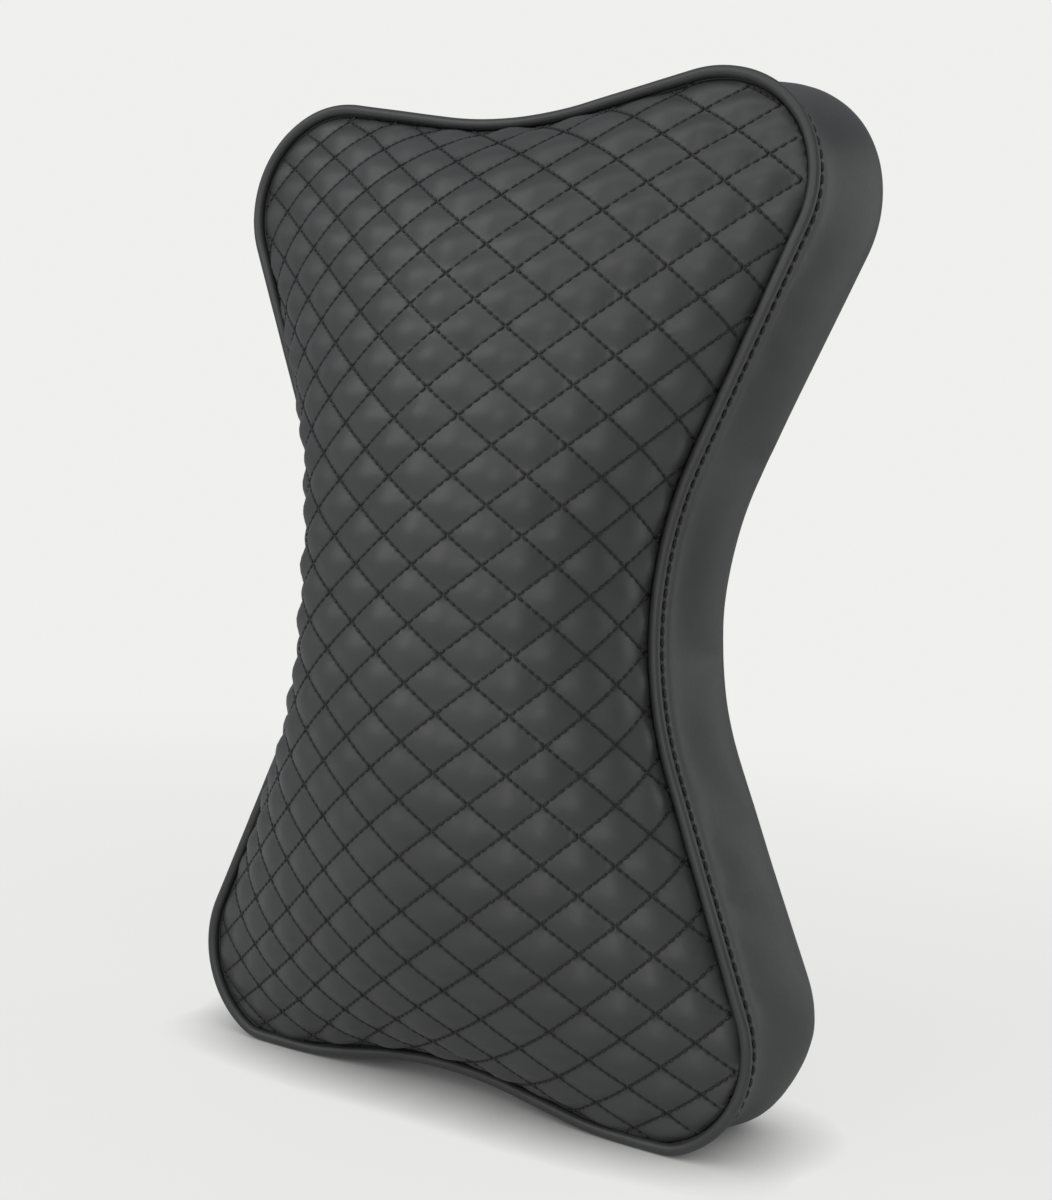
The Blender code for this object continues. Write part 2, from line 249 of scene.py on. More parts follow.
def place(x, z, out, dent):  # point on the crown, raised along its outward direction, then moved back
    points = np.c_[x, seamY - crownAt(x, z) + dent, z + middleZ]
    return points + np.asarray(out).reshape(-1, 1) * outwardAt(x, z)


def newPiece(name, bm, material):
    mesh = bpy.data.meshes.new(name)
    bm.to_mesh(mesh)
    bm.free()
    mesh.shade_smooth()
    mesh.materials.append(material)
    piece = bpy.data.objects.new(name, mesh)
    bpy.context.scene.collection.objects.link(piece)
    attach(piece, "root")
    return piece


def applied(piece):  # the piece's modifiers made part of its mesh
    graph = bpy.context.evaluated_depsgraph_get()
    mesh = bpy.data.meshes.new_from_object(piece.evaluated_get(graph))
    piece.modifiers.clear()
    piece.data = mesh
    return piece


def coordinates(mesh):
    flat = np.empty(len(mesh.vertices) * 3, np.float32)
    mesh.vertices.foreach_get("co", flat)
    return flat.reshape(-1, 3).astype(float)


cutterFront, cutterDepth = -0.01, 0.02


def cutToOutline(sheet, inset, lift):  # trims a flat slab to the outline with a cutter of that shape
    bm = bmesh.new()
    ring = [bm.verts.new((x, cutterFront, z)) for x, z in outlineAt(fineRun, inset, lift)]
    face = bm.faces.new(ring)
    grown = bmesh.ops.extrude_face_region(bm, geom=[face], use_keep_orig=True)
    moved = [v for v in grown["geom"] if isinstance(v, bmesh.types.BMVert)]
    bmesh.ops.translate(bm, vec=(0, cutterDepth, 0), verts=moved)
    bmesh.ops.recalc_face_normals(bm, faces=bm.faces)
    mesh = bpy.data.meshes.new("cutter")
    bm.to_mesh(mesh)
    bm.free()
    cutter = bpy.data.objects.new("cutter", mesh)
    bpy.context.scene.collection.objects.link(cutter)
    trim = sheet.modifiers.new("trim", "BOOLEAN")
    trim.operation = "INTERSECT"
    trim.solver = "MANIFOLD"
    trim.object = cutter
    applied(sheet)
    bpy.data.objects.remove(cutter, do_unlink=True)
    return sheet


def slabFrom(bm, thickness):  # closes a flat sheet into a slab that reaches back by its thickness
    grown = bmesh.ops.extrude_face_region(bm, geom=bm.faces[:], use_keep_orig=True)
    moved = [v for v in grown["geom"] if isinstance(v, bmesh.types.BMVert)]
    bmesh.ops.translate(bm, vec=(0, thickness, 0), verts=moved)
    bmesh.ops.recalc_face_normals(bm, faces=bm.faces)


def setCoordinates(mesh, points):
    mesh.vertices.foreach_set("co", np.ascontiguousarray(points, np.float32).ravel())
    mesh.update()


def seamUv(mesh, u, v):  # whole numbers of u, and of v where seams cross, lie on a seam
    layer = mesh.uv_layers.new(name="seams")
    corners = np.empty(len(mesh.loops), int)
    mesh.loops.foreach_get("vertex_index", corners)
    layer.data.foreach_set("uv", np.c_[u, v][corners].astype(np.float32).ravel())


def quiltedPanel(material):
    cells = math.ceil((quilt["gridX"] / quilt["halfWidth"] + quilt["gridZ"] / quilt["halfHeight"]) / 2)
    segments = 2 * cells * quilt["cuts"]
    bm = bmesh.new()
    bmesh.ops.create_grid(bm, x_segments=segments, y_segments=segments, size=cells)
    grid = np.array([v.co[:2] for v in bm.verts])
    # The rows lie closer together at the seams.
    grid = grid - quilt["towardsSeam"] * np.sin(2 * math.pi * grid) / (2 * math.pi)
    x, z = layCloth(*seamsToCloth(grid[:, 0], grid[:, 1]))
    spare = quilt["gridMargin"]
    inside = (np.abs(x) < halfWidth(z) + spare) & (np.abs(z) < halfLength(x) + spare)
    for v, px, pz in zip(bm.verts, x, z):
        v.co = (px, 0, pz)
    bmesh.ops.delete(bm, geom=[v for v, keep in zip(bm.verts, inside) if not keep], context="VERTS")
    slabFrom(bm, quilt["thickness"])
    panel = newPiece("quilted_panel", bm, material)
    cutToOutline(panel, rimInset, quilt["rimLift"])
    flat = coordinates(panel.data)
    puff, dent, u, v = puffAt(flat[:, 0], flat[:, 2])
    lining = flat[:, 1] > quilt["thickness"] / 2
    out = np.where(lining, -quilt["thickness"], puff)
    setCoordinates(panel.data, place(flat[:, 0], flat[:, 2], out, dent))
    panel.data.shade_smooth()
    seamUv(panel.data, u, v)
    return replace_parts(panel, "front_panel")


# Thread: small spindles, sunk at both ends where the thread goes into the leather.
thread = {
    "length": 0.0021, "width": 0.0009, "height": 0.00075, "rise": 0.00012, "rimMargin": 0.0005, "perSide": 5,
    "lines": 18, "shake": 0.008, "halfSpan": 0.08, "spans": (0.6, 1.6), "seed": 3,
}


def sewStitches(name, material, centres, towards, outs, sizes):  # one spindle at each centre
    bm = bmesh.new()
    bmesh.ops.create_uvsphere(bm, u_segments=6, v_segments=4, radius=0.5)
    piece = newPiece(name, bm, material)
    copies = piece.modifiers.new("copies", "ARRAY")
    copies.count = len(centres)
    copies.use_relative_offset = False
    one = coordinates(piece.data)
    applied(piece)
    outs = outs - (outs * towards).sum(axis=1)[:, None] * towards
    outs = outs / np.linalg.norm(outs, axis=1)[:, None]
    axes = np.stack([np.cross(towards, outs), towards, outs], axis=1)
    points = centres[:, None, :] + np.einsum("vk,nk,nkc->nvc", one, sizes, axes)
    setCoordinates(piece.data, points.reshape(-1, 3))
    piece.data.shade_smooth()
    return piece


def quiltStitches(material):
    random.seed(thread["seed"])
    most, shake, half = thread["lines"], thread["shake"], thread["halfSpan"]
    pitch = 1 / thread["perSide"]
    rows = []
    for line in range(-most, most + 1):
        for family in (0, 1):
            for k in range(-most * thread["perSide"], most * thread["perSide"]):
                rows.append((line, (k + 0.5) * pitch + random.uniform(-shake, shake), family))
    rows = np.array(rows)
    first = rows[:, 2] == 0
    u = np.where(first, rows[:, 0], rows[:, 1])
    v = np.where(first, rows[:, 1], rows[:, 0])
    ends = []
    for side in (-half, 0, half):
        x, z = layCloth(*seamsToCloth(u + np.where(first, 0, side), v + np.where(first, side, 0)))
        ends.append((x, z))
    x, z = ends[1]
    inside = (np.abs(x) < halfWidth(z)) & (np.abs(z) < halfLength(x))
    toRim = np.hypot(rimDistance(x[inside], z[inside]), crownAt(x[inside], z[inside]))
    low, middle, high = (place(a[inside], b[inside], thread["rise"], rimDent(toRim)) for a, b in ends)
    spans = np.linalg.norm(high - low, axis=1)
    spans = spans / np.median(spans)
    least, largest = thread["spans"]
    kept = (toRim > thread["rimMargin"]) & (spans > least) & (spans < largest)
    low, middle, high = low[kept], middle[kept], high[kept]
    outs = outwardAt(x[inside], z[inside])[kept]
    towards = (high - low) / np.linalg.norm(high - low, axis=1)[:, None]
    sizes = np.tile([thread["width"], thread["length"], thread["height"]], (len(low), 1))
    return sewStitches("quilt_thread", material, middle, towards, outs, sizes)


# Piping: a leather tube on a cord, sewn in the front seam.
piping = {"every": 0.0015, "facets": 4, "unevenness": 0.035, "unevenScale": 90, "merge": 0.00001, "seed": 11}


def pipingRing(material):
    run = wholeRun(piping["every"])
    points = outlineAt(run, pipingRadius - pipingProud, pipingRadius)
    curve = bpy.data.curves.new("piping_path", "CURVE")
    curve.dimensions = "3D"
    curve.bevel_depth = pipingRadius
    curve.bevel_resolution = piping["facets"]
    spline = curve.splines.new("POLY")
    spline.points.add(len(points) - 1)
    for point, (x, z) in zip(spline.points, points):
        point.co = (x, seamY, z + middleZ, 1)
        spot = Vector((x, piping["seed"], z)) * piping["unevenScale"]
        point.radius = 1 + piping["unevenness"] * noise.noise(spot)
    spline.use_cyclic_u = True
    path = bpy.data.objects.new("piping_path", curve)
    bpy.context.scene.collection.objects.link(path)
    graph = bpy.context.evaluated_depsgraph_get()
    bm = bmesh.new()
    bm.from_mesh(bpy.data.meshes.new_from_object(path.evaluated_get(graph)))
    bpy.data.objects.remove(path, do_unlink=True)
    bmesh.ops.remove_doubles(bm, verts=bm.verts, dist=piping["merge"])
    bmesh.ops.recalc_face_normals(bm, faces=bm.faces)
    ring = newPiece("piping_cord", bm, material)
    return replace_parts(ring, "front_piping")


# Side band: how far its face stands out of the outline (proud) at each depth behind the seam, in millimetres.
band = {
    "section": [
        (0.9, -2.2), (1.5, -1.1), (1.9, -0.7), (2.3, -0.5), (2.7, -0.5), (3.1, -0.7), (3.5, -0.8),
        (3.9, -0.7), (4.3, -0.3), (4.9, 0.0), (5.5, 0.1), (6.3, 0.1), (7.2, 0.0), (8.5, -0.2),
        (10.5, -0.3), (13.5, 0.2), (18, 1.6), (24, 3.4), (30, 4.8), (35, 5.3), (38.5, 4.8), (41, 3.2),
        (42.6, 0.8), (43.0, -1.6), (42.8, -3.8), (41.6, -5.6),
    ],
    "every": 0.0021, "thickness": 0.0012, "stitchAt": 3.5, "floorGap": 0.0002,
    "lobeSpread": 0.0006, "spreadFrom": 0.055, "spreadTo": 0.115, "spreadStart": 0.008, "spreadPower": 1.2,
    "cornerSpread": 0.005, "cornerGain": 1.55, "cornerPower": 0.5, "lowerCorner": 0.35, "leastSpread": 0.25,
    "underLift": 0.0065, "turnedIn": 0.0056,
    "pinFront": 0.009, "pinBack": 0.0405, "pressure": 3, "bending": 20, "slack": 0.006, "cap": 0.0012,
    "frames": 16,
}


def lobeSpread(depth, proud, run):  # how much further out the band stands at the lobes, towards its back
    reach = np.clip((np.abs(run[:, 1]) - band["spreadFrom"]) / (band["spreadTo"] - band["spreadFrom"]), 0, 1)
    reach = reach * reach * (3 - 2 * reach)
    offFloor = np.clip(1 + run[:, 3], band["leastSpread"], 1)  # the lobes that it stands on stay narrow below
    upper = np.where(run[:, 1] > 0, 1.0, band["lowerCorner"])
    corner = band["cornerGain"] * np.abs(run[:, 2]) ** band["cornerPower"] * ((1 + run[:, 3]) / 2) ** 2
    corner = np.clip(corner, 0, 1) * upper
    spread = band["lobeSpread"] * offFloor + band["cornerSpread"] * corner
    under = np.clip(-run[:, 3], 0, 1) * (run[:, 1] < 0)  # pressed in where it stands
    turned = np.clip(1 + min(proud, 0) / band["turnedIn"], 0, 1)  # the last edge stays at the back panel
    back = (max(depth - band["spreadStart"], 0) / bandDepth) ** band["spreadPower"]
    return (spread * back - band["underLift"] * under * back) * reach * turned


def underPressure(piece, pinned):  # foam pressing on the band's leather between its two seams
    group = piece.vertex_groups.new(name="sewn")
    group.add(np.flatnonzero(pinned).tolist(), 1, "REPLACE")
    cloth = piece.modifiers.new("cloth", "CLOTH")
    cloth.settings.vertex_group_mass = "sewn"
    cloth.settings.use_pressure = True
    cloth.settings.uniform_pressure_force = band["pressure"]
    cloth.settings.shrink_min = -band["slack"]
    cloth.settings.bending_stiffness = band["bending"]
    cloth.settings.effector_weights.gravity = 0
    cloth.collision_settings.use_collision = False
    before = coordinates(piece.data)
    for step in range(1, band["frames"] + 1):
        bpy.context.scene.frame_set(step)
    graph = bpy.context.evaluated_depsgraph_get()
    move = coordinates(piece.evaluated_get(graph).data) - before
    far = np.linalg.norm(move, axis=1)[:, None]
    piece.modifiers.clear()
    piece.vertex_groups.clear()
    bpy.context.scene.frame_set(1)
    setCoordinates(piece.data, before + move * band["cap"] / np.maximum(far, band["cap"]))
    print("band pressed out by up to", round(far.max() * 1000, 2), "mm")


bandThread = {
    "pitch": 0.0034, "length": 0.0028, "width": 0.0017, "height": 0.0011, "proud": 0.0003,
    "every": 0.0005, "shake": 0.04, "seamUnit": 0.0124, "seed": 5,
}
folds = {
    "height": 0.00045, "alongScale": 55, "acrossScale": 9, "slice": 3.1, "slowScale": 30, "lowReach": 0.05,
    "share": 0.5, "lowShare": 5, "slowShare": 2.6, "front": 0.006, "ends": 0.008,
}


def bandWrinkle(x, depth, z, along):  # small folds across the band, stronger near the floor
    low = math.exp(-(z + middleZ) / folds["lowReach"])
    fold = noise.noise(Vector((along * folds["alongScale"], depth * folds["acrossScale"], folds["slice"])))
    slow = noise.noise(Vector((x, depth, z)) * folds["slowScale"])
    inner = min(max((depth - folds["front"]) / (bandDepth - folds["ends"]), 0), 1)
    share = fold * (folds["share"] + folds["lowShare"] * low) + folds["slowShare"] * slow
    return folds["height"] * math.sin(math.pi * inner) * share


def sideBand(material):
    run = wholeRun(band["every"])
    lengths = np.cumsum(np.hypot(*np.diff(run[:, :2], axis=0, append=run[:1, :2]).T))
    bm = bmesh.new()
    rows = []
    for depth, proud in band["section"]:
        depth, proud = depth / 1000, proud / 1000
        points = outlineAt(run, -proud)
        wrinkles = [bandWrinkle(x, depth, z, s) for (x, z), s in zip(points, lengths)]
        points = outlineAt(run, -(proud + lobeSpread(depth, proud, run) + np.array(wrinkles)))
        if not rows:
            ring = [bm.verts.new((x, seamY + depth, z + middleZ)) for x, z in points]
            rows.append([bm.edges.new((a, b)) for a, b in zip(ring, ring[1:] + ring[:1])])
            continue
        grown = bmesh.ops.extrude_edge_only(bm, edges=rows[-1])
        edges = [e for e in grown["geom"] if isinstance(e, bmesh.types.BMEdge)]
        ring = [v for v in grown["geom"] if isinstance(v, bmesh.types.BMVert)]
        bm.verts.index_update()
        ring.sort(key=lambda v: v.index)
        for v, (x, z) in zip(ring, points):
            v.co = (x, seamY + depth, z + middleZ)
        new = set(ring)
        rows.append([e for e in edges if e.verts[0] in new and e.verts[1] in new])
    bmesh.ops.recalc_face_normals(bm, faces=bm.faces)
    piece = newPiece("band_cover", bm, material)
    behind = coordinates(piece.data)[:, 1] - seamY
    underPressure(piece, (behind < band["pinFront"]) | (behind > band["pinBack"]))
    pressed = coordinates(piece.data)
    pressed[:, 2] = np.maximum(pressed[:, 2], band["floorGap"])
    setCoordinates(piece.data, pressed)
    # UV for the painted shade along the band's stitch groove and at its needle holes
    along = np.tile(lengths, len(band["section"])) / (bandThread["pitch"] * thread["perSide"])
    across = np.clip((behind - band["stitchAt"] / 1000) / bandThread["seamUnit"], -0.5, 0.5)
    seamUv(piece.data, across, along)
    wall = piece.modifiers.new("wall", "SOLIDIFY")
    wall.thickness = band["thickness"]
    wall.offset = -1
    soft = piece.modifiers.new("soft", "SUBSURF")
    soft.levels = soft.render_levels = 1
    applied(piece)
    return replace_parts(piece, "side_band")


def bandStitches(material):
    random.seed(bandThread["seed"])
    run = wholeRun(bandThread["every"])
    closed = np.vstack([run, run[:1]])
    reached = np.r_[0, np.cumsum(np.hypot(*np.diff(closed[:, :2], axis=0).T))]
    count = round(reached[-1] / bandThread["pitch"])
    shake = bandThread["shake"]
    shaken = np.array([random.uniform(-shake, shake) for _ in range(count)])
    at = (np.arange(count) + shaken) * reached[-1] / count % reached[-1]
    x, z, outX, outZ = (np.interp(at, reached, closed[:, c]) for c in range(4))
    outs = np.c_[outX, np.zeros(count), outZ] / np.hypot(outX, outZ)[:, None]
    towards = np.c_[-outs[:, 2], np.zeros(count), outs[:, 0]]
    rowY = np.full(count, seamY + band["stitchAt"] / 1000)
    centres = np.c_[x, rowY, z + middleZ] + bandThread["proud"] * outs
    centres[:, 2] = np.maximum(centres[:, 2], bandThread["height"] / 2)
    sizes = np.tile([bandThread["width"], bandThread["length"], bandThread["height"]], (count, 1))
    return sewStitches("band_thread", material, centres, towards, outs, sizes)


# Back panel: plain leather, drawn down into its seam all round.
backShape = {
    "reach": 0.155, "cell": 0.0025, "thickness": 0.0014, "swell": 0.0016, "fade": 0.006, "inset": 0.0046,
    "rimLift": 0.003, "unevenness": 0.0003, "unevenScale": 22, "evenEdge": 0.01, "seed": 7,
}


def backPanel(material):
    bm = bmesh.new()
    reach = backShape["reach"]
    cells = math.ceil(2 * reach / backShape["cell"])
    upright = Matrix.Rotation(math.pi / 2, 4, "X")
    bmesh.ops.create_grid(bm, x_segments=cells, y_segments=cells, size=reach, matrix=upright)
    slabFrom(bm, backShape["thickness"])
    panel = newPiece("back_cover", bm, material)
    cutToOutline(panel, backShape["inset"], backShape["rimLift"])
    flat = coordinates(panel.data)
    toRim = np.maximum(rimDistance(flat[:, 0], flat[:, 2]) - backShape["inset"] + rimInset, 0)
    swell = backShape["swell"] * (1 - np.exp(-toRim / backShape["fade"]))
    spots = [Vector((a, backShape["seed"], b)) * backShape["unevenScale"] for a, b in flat[:, [0, 2]]]
    slow = np.array([noise.noise(spot) for spot in spots])
    y = backHigh.y - backShape["swell"] + swell
    y = y + backShape["unevenness"] * slow * np.minimum(toRim / backShape["evenEdge"], 1)
    y = y - np.where(flat[:, 1] > backShape["thickness"] / 2, 0, backShape["thickness"])
    setCoordinates(panel.data, np.c_[flat[:, 0], y, flat[:, 2] + middleZ])
    panel.data.shade_smooth()
    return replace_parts(panel, "back_panel")


# Elastic strap, sewn to the back at both ends.
strapShape = {
    "edge": 0.0006, "rib": 0.0016, "stitch": 0.003, "boxInset": 0.004, "boxLength": 0.016,
    "threadSize": (0.0006, 0.0024, 0.0004),  # width, length and height of a stitch
}


def headrestStrap(material):
    bm = bmesh.new()
    bmesh.ops.create_cube(bm, size=1)
    middle, size = (strapLow + strapHigh) / 2, strapHigh - strapLow
    bmesh.ops.scale(bm, vec=size, verts=bm.verts)
    bmesh.ops.translate(bm, vec=middle, verts=bm.verts)
    edge = strapShape["edge"]
    bmesh.ops.bevel(bm, geom=bm.edges[:], offset=edge, segments=3, affect="EDGES", profile=0.5, material=-1)
    strap = newPiece("elastic_strap", bm, material)
    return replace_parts(strap, "headrest_strap")


def strapStitches(material):  # a sewn box with a cross at each end of the strap
    s = strapShape
    left, right = strapLow.x + s["boxInset"], strapHigh.x - s["boxInset"]
    centres, towards = [], []
    for low in (strapLow.z + s["boxInset"], strapHigh.z - s["boxInset"] - s["boxLength"]):
        high = low + s["boxLength"]
        corners = [(left, low), (right, low), (right, high), (left, high), (left, low), (right, high)]
        runs = list(zip(corners, corners[1:])) + [((left, high), (right, low))]
        for start, end in runs:
            length = math.dist(start, end)
            along = np.array([end[0] - start[0], 0, end[1] - start[1]]) / length
            for k in range(int(length / s["stitch"])):
                centres.append(np.array([start[0], strapHigh.y, start[1]]) + along * (k + 0.5) * s["stitch"])
                towards.append(along)
    centres, towards = np.array(centres), np.array(towards)
    sizes = np.tile(s["threadSize"], (len(centres), 1))
    outs = np.tile([0.0, 1.0, 0.0], (len(centres), 1))
    return sewStitches("strap_thread", material, centres, towards, outs, sizes)


# Foam core: the CAD solid's form, with rounded edges and a little clear of the cover.
foamShape = {"clearance": 0.0052, "rounds": 3, "factor": 0.5, "merge": 0.00001}


def foamBlock(material):
    bm = bmesh.new()
    bm.from_mesh(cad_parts["foam_core"].data)
    bmesh.ops.remove_doubles(bm, verts=bm.verts, dist=foamShape["merge"])
    axes = {"use_axis_x": True, "use_axis_y": True, "use_axis_z": True}
    for _ in range(foamShape["rounds"]):
        bmesh.ops.smooth_vert(bm, verts=bm.verts, factor=foamShape["factor"], **axes)
    bm.normal_update()
    for v in bm.verts:
        v.co -= foamShape["clearance"] * v.normal
    block = newPiece("foam_block", bm, material)
    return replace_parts(block, "foam_core")


def nodeLine(nodes, kind, **inputs):  # a shader node with its input values set by name
    node = nodes.new(kind)
    for name, value in inputs.items():
        node.inputs[name].default_value = value
    return node


leather = {
    "grainScale": 1500, "grainDepth": 0.10, "grainHeight": 0.0002, "pebbleScale": 700, "blotchScale": 28,
    "roughness": (0.42, 0.56), "blotchRange": (0.3, 0.7), "dark": 0.85, "light": 1.12,
    "tint": (0.034, 0.0345, 0.035), "plainTint": (0.031, 0.0315, 0.032),
    # the seam widths and darkness below set painted shade along the seam valleys, with dark painted dots at
    # the needle holes
    "seamWidth": 0.055, "paintedSeamShade": 0.88, "holeWidth": 0.055,
    "puckerReach": 0.16, "puckerDepth": 0.5, "puckerHeight": 0.004,
}


def math2(nodes, links, kind, first, second):  # a Math node fed by sockets or numbers
    node = nodes.new("ShaderNodeMath")
    node.operation = kind
    for socket, value in zip(node.inputs, (first, second)):
        if isinstance(value, (int, float)):
            socket.default_value = value
        else:
            links.new(value, socket)
    return node.outputs["Value"]


def paintedSeamShade(nodes, links, crossed):  # painted shade along the seam's valley and at its needle holes, and how far its stitches pucker the leather
    uv = nodes.new("ShaderNodeUVMap")
    uv.uv_map = "seams"
    parts = nodes.new("ShaderNodeSeparateXYZ")
    links.new(uv.outputs["UV"], parts.inputs["Vector"])
    halfStitch = 0.5 / thread["perSide"]
    offU, offV = (math2(nodes, links, "PINGPONG", parts.outputs[axis], 0.5) for axis in "XY")
    stepU, stepV = (math2(nodes, links, "PINGPONG", parts.outputs[axis], halfStitch) for axis in "XY")
    sides = [(offU, stepV), (offV, stepU)][:2 if crossed else 1]
    shade, pucker = 0.0, 0.0
    # painted shade: a dark line in the seam's valley, with darker dots at the needle holes
    for off, hole in sides:
        line = math2(nodes, links, "DIVIDE", off, leather["seamWidth"])
        line = math2(nodes, links, "SUBTRACT", 1.0, math2(nodes, links, "MINIMUM", line, 1.0))
        apart = math2(nodes, links, "DIVIDE", math2(nodes, links, "ADD", off, hole), leather["holeWidth"])
        dot = math2(nodes, links, "SUBTRACT", 1.0, math2(nodes, links, "MINIMUM", apart, 1.0))
        shade = math2(nodes, links, "MAXIMUM", shade, math2(nodes, links, "MAXIMUM", line, dot))
        near = math2(nodes, links, "DIVIDE", off, leather["puckerReach"])
        near = math2(nodes, links, "SUBTRACT", 1.0, math2(nodes, links, "MINIMUM", near, 1.0))
        near = math2(nodes, links, "MULTIPLY", near, near)
        pucker = math2(nodes, links, "ADD", pucker, math2(nodes, links, "MULTIPLY", near, hole))
    return shade, pucker


def leatherMaterial(name, tint, seams=0):  # seams: 0 none, 1 one row, 2 crossing rows
    material = bpy.data.materials.new(name)
    material.use_nodes = True
    nodes, links = material.node_tree.nodes, material.node_tree.links
    shader = nodes["Principled BSDF"]
    where = nodes.new("ShaderNodeTexCoord").outputs["Object"]
    blotch = nodeLine(nodes, "ShaderNodeTexNoise", Scale=leather["blotchScale"], Detail=3)
    grain = nodeLine(nodes, "ShaderNodeTexVoronoi", Scale=leather["grainScale"])
    grain.feature = "SMOOTH_F1"
    fine = nodeLine(nodes, "ShaderNodeTexNoise", Scale=leather["pebbleScale"], Detail=4, Roughness=0.6)
    for texture in (blotch, grain, fine):
        links.new(where, texture.inputs["Vector"])
    shade = nodes.new("ShaderNodeValToRGB")
    ends = zip(shade.color_ramp.elements, leather["blotchRange"], (leather["dark"], leather["light"]))
    for element, position, factor in ends:
        element.position = position
        element.color = (*[factor * c for c in tint], 1)
    links.new(blotch.outputs["Fac"], shade.inputs["Fac"])
    links.new(shade.outputs["Color"], shader.inputs["Base Color"])
    # painted shade: the colour is darkened along the seams and at the needle holes
    if seams:
        sewn, pucker = paintedSeamShade(nodes, links, seams == 2)
        seamShadePaint = nodes.new("ShaderNodeMix")
        seamShadePaint.data_type = "RGBA"
        seamShadePaint.inputs["B"].default_value = (*[c * (1 - leather["paintedSeamShade"]) for c in tint], 1)
        links.new(sewn, seamShadePaint.inputs["Factor"])
        links.new(shade.outputs["Color"], seamShadePaint.inputs["A"])
        links.new(seamShadePaint.outputs["Result"], shader.inputs["Base Color"])
    gloss = nodes.new("ShaderNodeMapRange")
    gloss.inputs["To Min"].default_value, gloss.inputs["To Max"].default_value = leather["roughness"]
    links.new(fine.outputs["Fac"], gloss.inputs["Value"])
    links.new(gloss.outputs["Result"], shader.inputs["Roughness"])
    height = math2(nodes, links, "ADD", grain.outputs["Distance"], fine.outputs["Fac"])
    bump = nodeLine(
        nodes, "ShaderNodeBump", Strength=leather["grainDepth"], Distance=leather["grainHeight"])
    links.new(height, bump.inputs["Height"])
    if seams:
        puckers = nodeLine(
            nodes, "ShaderNodeBump", Strength=leather["puckerDepth"], Distance=leather["puckerHeight"])
        links.new(pucker, puckers.inputs["Height"])
        links.new(puckers.outputs["Normal"], bump.inputs["Normal"])
    links.new(bump.outputs["Normal"], shader.inputs["Normal"])
    return material


# Thread, which also does for the foam's fine open cells, and webbing.
fibre = {"scale": 2500, "roughness": 0.6, "dark": 0.6, "light": 1.4, "bump": 0.3, "bumpHeight": 0.0001}
# the weave's dark and light set painted shade in the ribs' hollows and painted light on their crests
weave = {"weft": 2.2, "roughness": 0.75, "dark": 0.5, "light": 1.6, "bump": 0.6, "bumpHeight": 0.0003}


def threadMaterial(name, colour):
    material = bpy.data.materials.new(name)
    material.use_nodes = True
    nodes, links = material.node_tree.nodes, material.node_tree.links
    shader = nodes["Principled BSDF"]
    shader.inputs["Roughness"].default_value = fibre["roughness"]
    where = nodes.new("ShaderNodeTexCoord").outputs["Object"]
    twist = nodeLine(nodes, "ShaderNodeTexNoise", Scale=fibre["scale"], Detail=2)
    links.new(where, twist.inputs["Vector"])
    shade = nodes.new("ShaderNodeValToRGB")
    for element, factor in zip(shade.color_ramp.elements, (fibre["dark"], fibre["light"])):
        element.color = (*[factor * c for c in colour], 1)
    links.new(twist.outputs["Fac"], shade.inputs["Fac"])
    links.new(shade.outputs["Color"], shader.inputs["Base Color"])
    bump = nodeLine(nodes, "ShaderNodeBump", Strength=fibre["bump"], Distance=fibre["bumpHeight"])
    links.new(twist.outputs["Fac"], bump.inputs["Height"])
    links.new(bump.outputs["Normal"], shader.inputs["Normal"])
    return material


def webbingMaterial(name, colour):  # ribs along the strap, crossed by a finer weft
    material = bpy.data.materials.new(name)
    material.use_nodes = True
    nodes, links = material.node_tree.nodes, material.node_tree.links
    shader = nodes["Principled BSDF"]
    shader.inputs["Roughness"].default_value = weave["roughness"]
    parts = nodes.new("ShaderNodeSeparateXYZ")
    links.new(nodes.new("ShaderNodeTexCoord").outputs["Object"], parts.inputs["Vector"])
    turns = 2 * math.pi / strapShape["rib"]
    ribs = math2(nodes, links, "SINE", math2(nodes, links, "MULTIPLY", parts.outputs["X"], turns), 0)
    wefts = math2(nodes, links, "MULTIPLY", parts.outputs["Z"], turns * weave["weft"])
    weft = math2(nodes, links, "SINE", wefts, 0)
    height = math2(nodes, links, "ADD", ribs, math2(nodes, links, "MULTIPLY", ribs, weft))
    shade = nodes.new("ShaderNodeMapRange")
    shade.inputs["From Min"].default_value = -2
    shade.inputs["From Max"].default_value = 2
    links.new(height, shade.inputs["Value"])
    # painted shade and light: the ribs' hollows are coloured darker and their crests lighter, following the
    # bump's height
    paintedRibShade = nodes.new("ShaderNodeValToRGB")
    for element, factor in zip(paintedRibShade.color_ramp.elements, (weave["dark"], weave["light"])):
        element.color = (*[factor * c for c in colour], 1)
    links.new(shade.outputs["Result"], paintedRibShade.inputs["Fac"])
    links.new(paintedRibShade.outputs["Color"], shader.inputs["Base Color"])
    bump = nodeLine(nodes, "ShaderNodeBump", Strength=weave["bump"], Distance=weave["bumpHeight"])
    links.new(height, bump.inputs["Height"])
    links.new(bump.outputs["Normal"], shader.inputs["Normal"])
    return material


# the quilt and band leathers carry painted shade along their seams and at their needle holes
quiltLeather = leatherMaterial("quilt_leather", leather["tint"], seams=2)
bandLeather = leatherMaterial("band_leather_look", leather["plainTint"], seams=1)
plainLeather = leatherMaterial("plain_leather", leather["plainTint"])
threadBlack = threadMaterial("black_thread", (0.006, 0.006, 0.007))
webbing = webbingMaterial("black_webbing", (0.018, 0.018, 0.019))
foam = threadMaterial("cream_foam", (0.80, 0.74, 0.55))
print("materials made")

quiltedPanel(quiltLeather)
print("quilted panel made")
quiltStitches(threadBlack)
print("quilt thread sewn")
pipingRing(plainLeather)
sideBand(bandLeather)
bandStitches(threadBlack)
print("piping and band made")
backPanel(plainLeather)
headrestStrap(webbing)
strapStitches(threadBlack)
foamBlock(foam)
print("back, strap and foam made")

